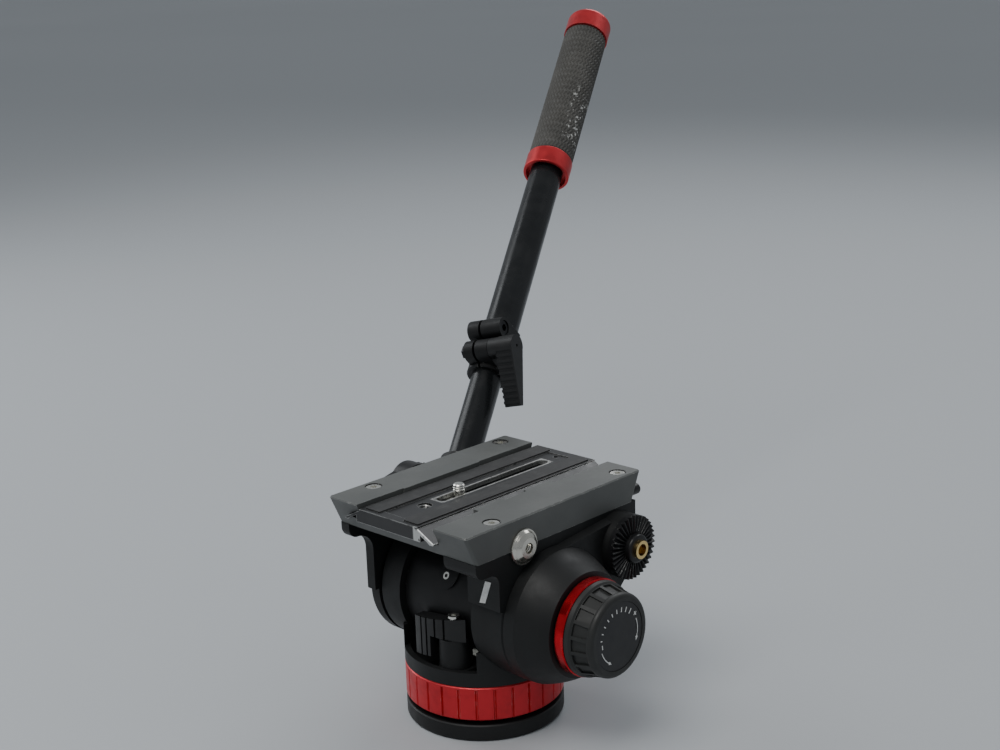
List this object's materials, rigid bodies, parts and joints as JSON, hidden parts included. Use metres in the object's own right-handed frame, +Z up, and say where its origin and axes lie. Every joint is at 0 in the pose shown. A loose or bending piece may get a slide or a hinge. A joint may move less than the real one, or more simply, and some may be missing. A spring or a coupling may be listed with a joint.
{
  "type": "fluid video head with pan bar",
  "caption": "Fluid video head on a flat round base: fork, tilting platform with sliding camera plate, drag ring and knob, toothed rosettes, telescopic pan bar with foam grip.",
  "frame": {"origin": "centre of the flat base's underside, on the pan axis", "axes": "+Z up the pan axis, -Y to the front where the camera looks, +X to the side with the tilt-drag knob"},
  "size_m": [0.3206, 0.4142, 0.3627],
  "materials": {
    "satin_black": "satin black paint on a light-alloy casting",
    "black_metal": "black anodised, satin",
    "grey_alloy": "satin grey, slightly worn",
    "plate_black": "black with bare metal at worn edges",
    "bright_steel": "bright turned metal",
    "black_steel": "black oxide",
    "brass_metal": "turned",
    "red_anodised": "red anodised",
    "black_plastic": "moulded, fine texture",
    "label_black": "smooth disc",
    "mark_white": "index mark",
    "strip_rubber": "ribbed strip",
    "tube_black": "satin black tube",
    "grip_foam": "textured foam grip",
    "level_glass": "bubble vial"
  },
  "bodies": {
    "base": {"base_disc": "satin_black", "base_thread_insert": "bright_steel", "base_screws": "bright_steel", "pan_spindle": "bright_steel", "pan_fluid_cartridge": "black_plastic", "spindle_washer": "bright_steel", "spindle_nut": "bright_steel"},
    "fork": {"fork_housing": "satin_black", "ring_retainer": "black_plastic", "pan_bushings": "brass_metal", "tilt_bearings": "bright_steel", "pan_lock_boss": "satin_black", "pan_lock_pin": "bright_steel", "level_housing": "satin_black", "level_vial": "level_glass"},
    "pan_drag_ring": {"pan_drag_ring": "red_anodised"},
    "pan_lock": {"pan_lock_lever": "black_plastic"},
    "tilt_head": {"tilt_shaft": "bright_steel", "tilt_drum": "satin_black", "drum_cover": "satin_black", "drum_screw": "bright_steel", "counterbalance_spring": "bright_steel", "tilt_fluid_cartridge": "black_plastic", "left_side_housing": "satin_black", "right_side_housing": "satin_black", "tilt_drag_stack": "black_plastic", "index_mark": "mark_white", "platform": "grey_alloy", "platform_screws": "bright_steel", "accessory_bushing": "bright_steel", "left_rosette": "black_metal", "right_rosette": "black_metal", "left_rosette_insert": "brass_metal", "right_rosette_insert": "brass_metal", "tilt_lock_screw": "bright_steel", "release_spring": "bright_steel"},
    "drag_knob": {"tilt_drag_knob": "black_plastic", "knob_ring": "red_anodised", "knob_label": "label_black"},
    "tilt_lock": {"tilt_lock_lever": "black_plastic"},
    "plate": {"camera_plate": "plate_black", "plate_pads": "strip_rubber"},
    "screw_carriage": {"screw_collar": "bright_steel"},
    "camera_screw": {"camera_screw": "bright_steel"},
    "jaw": {"plate_jaw": "black_plastic"},
    "plate_lock": {"plate_lock_lever": "black_plastic", "plate_lock_shaft": "bright_steel"},
    "release_button": {"plate_release_button": "black_plastic"},
    "pan_bar": {"pan_bar_clamp": "black_metal", "pan_bar_inner_tube": "tube_black"},
    "bar_knob": {"pan_bar_knob": "black_plastic", "pan_bar_clamp_screw": "bright_steel"},
    "bar_outer": {"bar_clamp_collar": "black_metal", "collar_screw": "black_steel", "pan_bar_outer_tube": "tube_black", "grip_ring": "red_anodised", "pan_bar_grip": "grip_foam", "grip_cap": "red_anodised"},
    "wing": {"wing_lever": "black_plastic", "wing_lever_bolt": "black_steel"}
  },
  "joints": [
    {"name": "pan", "type": "hinge", "parent": "base", "child": "fork", "pos_m": [0, 0, 0.02], "axis": [0, 0, 1], "continuous": true},
    {"name": "pan_drag", "type": "hinge", "parent": "fork", "child": "pan_drag_ring", "pos_m": [0, 0, 0.022], "axis": [0, 0, 1], "range_deg": [-60, 60]},
    {"name": "pan_lock_swing", "type": "hinge", "parent": "fork", "child": "pan_lock", "pos_m": [0.0142, -0.036, 0.062], "axis": [0, 0, 1], "range_deg": [0, 8]},
    {"name": "tilt", "type": "hinge", "parent": "fork", "child": "tilt_head", "pos_m": [0, 0, 0.07], "axis": [1, 0, 0], "range_deg": [-75, 45]},
    {"name": "tilt_drag", "type": "hinge", "parent": "tilt_head", "child": "drag_knob", "pos_m": [0.087, 0, 0.07], "axis": [1, 0, 0], "range_deg": [-150, 150]},
    {"name": "tilt_lock_swing", "type": "hinge", "parent": "tilt_head", "child": "tilt_lock", "pos_m": [-0.056, 0, 0.07], "axis": [1, 0, 0], "range_deg": [-40, 20]},
    {"name": "plate_slide", "type": "slide", "parent": "tilt_head", "child": "plate", "axis": [0, 1, 0], "range_m": [-0.05, 0.05]},
    {"name": "screw_slide", "type": "slide", "parent": "plate", "child": "screw_carriage", "axis": [0, 1, 0], "range_m": [-0.0122, 0.0662]},
    {"name": "screw_turn", "type": "hinge", "parent": "screw_carriage", "child": "camera_screw", "pos_m": [-0.006, -0.0085, 0.125], "axis": [0, 0, 1], "continuous": true},
    {"name": "plate_lock_swing", "type": "hinge", "parent": "tilt_head", "child": "plate_lock", "pos_m": [-0.058, 0.0045, 0.1166], "axis": [1, 0, 0], "range_deg": [-75, 0]},
    {"name": "jaw_slide", "type": "slide", "parent": "tilt_head", "child": "jaw", "axis": [1, 0, 0], "range_m": [0, 0.0022]},
    {"name": "release_press", "type": "slide", "parent": "tilt_head", "child": "release_button", "axis": [0, -1, 0], "range_m": [0, 0.0022], "stiffness_N_per_m": 400, "springref_m": -0.001, "deforming": ["release_spring"]},
    {"name": "bar_angle", "type": "hinge", "parent": "tilt_head", "child": "pan_bar", "pos_m": [-0.0747, 0.0533, 0.094], "axis": [1, 0, 0], "range_deg": [-75, 105]},
    {"name": "bar_knob_turn", "type": "hinge", "parent": "pan_bar", "child": "bar_knob", "pos_m": [-0.098, 0.0533, 0.094], "axis": [1, 0, 0], "continuous": true},
    {"name": "bar_telescope", "type": "slide", "parent": "pan_bar", "child": "bar_outer", "axis": [-0.3256, 0.706, 0.629], "range_m": [-0.04, 0.1]},
    {"name": "wing_turn", "type": "hinge", "parent": "bar_outer", "child": "wing", "pos_m": [-0.09239, 0.11246, 0.16948], "axis": [0.9455, 0.2431, 0.2166], "range_deg": [-45, 45]}
  ],
  "couplings": [
    {"joint": "jaw_slide", "follows": "plate_lock_swing", "m_per_rad": -0.0016807}
  ]
}
